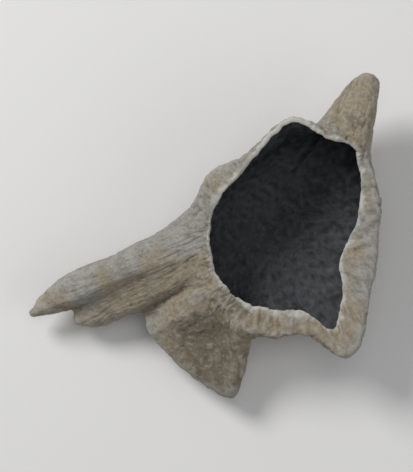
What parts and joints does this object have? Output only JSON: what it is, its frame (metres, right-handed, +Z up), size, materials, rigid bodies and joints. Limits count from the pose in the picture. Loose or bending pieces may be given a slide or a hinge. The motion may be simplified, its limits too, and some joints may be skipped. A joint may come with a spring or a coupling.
{
  "type": "dried wood ear mushroom",
  "caption": "Small dried wood ear mushroom: a thin leathery cup with a rolled pale lip, a long horn on one side and a flat-cut foot.",
  "frame": {"origin": "centre of the flat cut through the foot, on the surface the ear rests on", "axes": "+Z up through the mouth of the cup, +X the longest way across, away from the horn, +Y towards the small flap"},
  "size_m": [0.0362, 0.0331, 0.0135],
  "materials": {
    "ear_skin": "dry felt outside, smooth and nearly black inside"
  },
  "bodies": {
    "root": {"ear": "ear_skin"}
  },
  "joints": []
}
